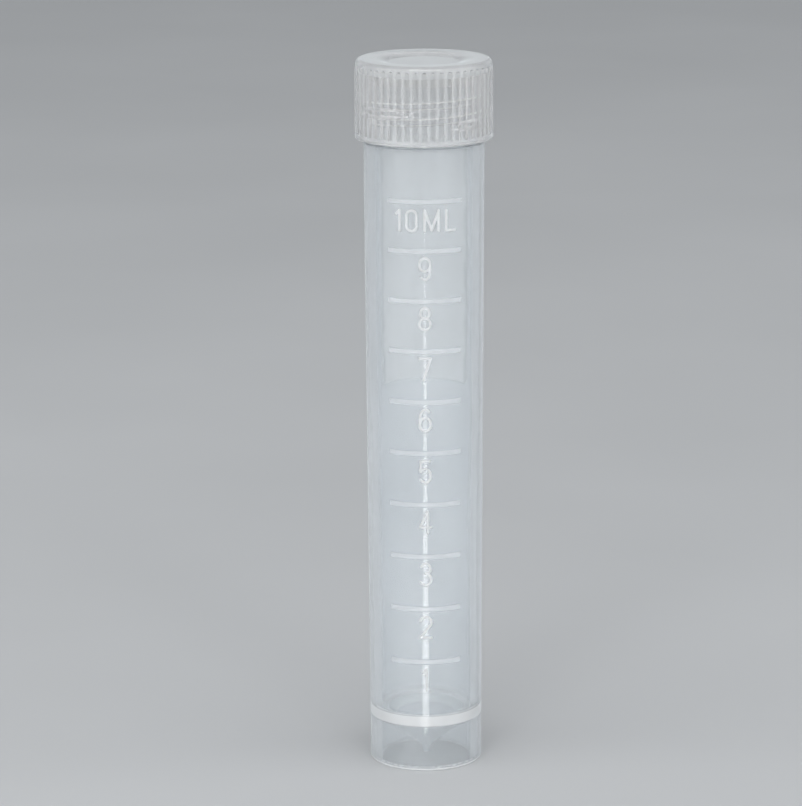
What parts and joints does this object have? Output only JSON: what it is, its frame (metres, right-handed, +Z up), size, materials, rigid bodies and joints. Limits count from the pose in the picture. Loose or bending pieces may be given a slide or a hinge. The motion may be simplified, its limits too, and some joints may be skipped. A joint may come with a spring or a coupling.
{
  "type": "cryovial",
  "caption": "Self-standing translucent cryovial: tapered tube with a moulded volume scale, skirted conical floor, and a ribbed screw cap with a sealing ring.",
  "frame": {"origin": "centre of the tube's foot, on the surface that it stands on", "axes": "+Z up along the tube's axis; the volume scale faces -Y and the writing panel faces +Y"},
  "size_m": [0.0188, 0.0188, 0.099],
  "materials": {
    "tube": "translucent milky polypropylene, smooth, with a frosted writing panel",
    "cap": "translucent milky polypropylene, ribbed",
    "sealing_ring": "matte silicone"
  },
  "bodies": {
    "tube": {"tube": "tube"},
    "ring": {"sealing_ring": "sealing_ring"},
    "cap": {"cap": "cap"}
  },
  "joints": [
    {"name": "cap_lift", "type": "slide", "parent": "tube", "child": "ring", "axis": [0, 0, 1], "range_m": [0, 0.0032]},
    {"name": "cap_turn", "type": "hinge", "parent": "ring", "child": "cap", "pos_m": [0, 0, 0.0936], "axis": [0, 0, 1], "range_deg": [0, 540]}
  ],
  "couplings": [
    {"joint": "cap_lift", "follows": "cap_turn", "m_per_rad": 0.000339}
  ]
}
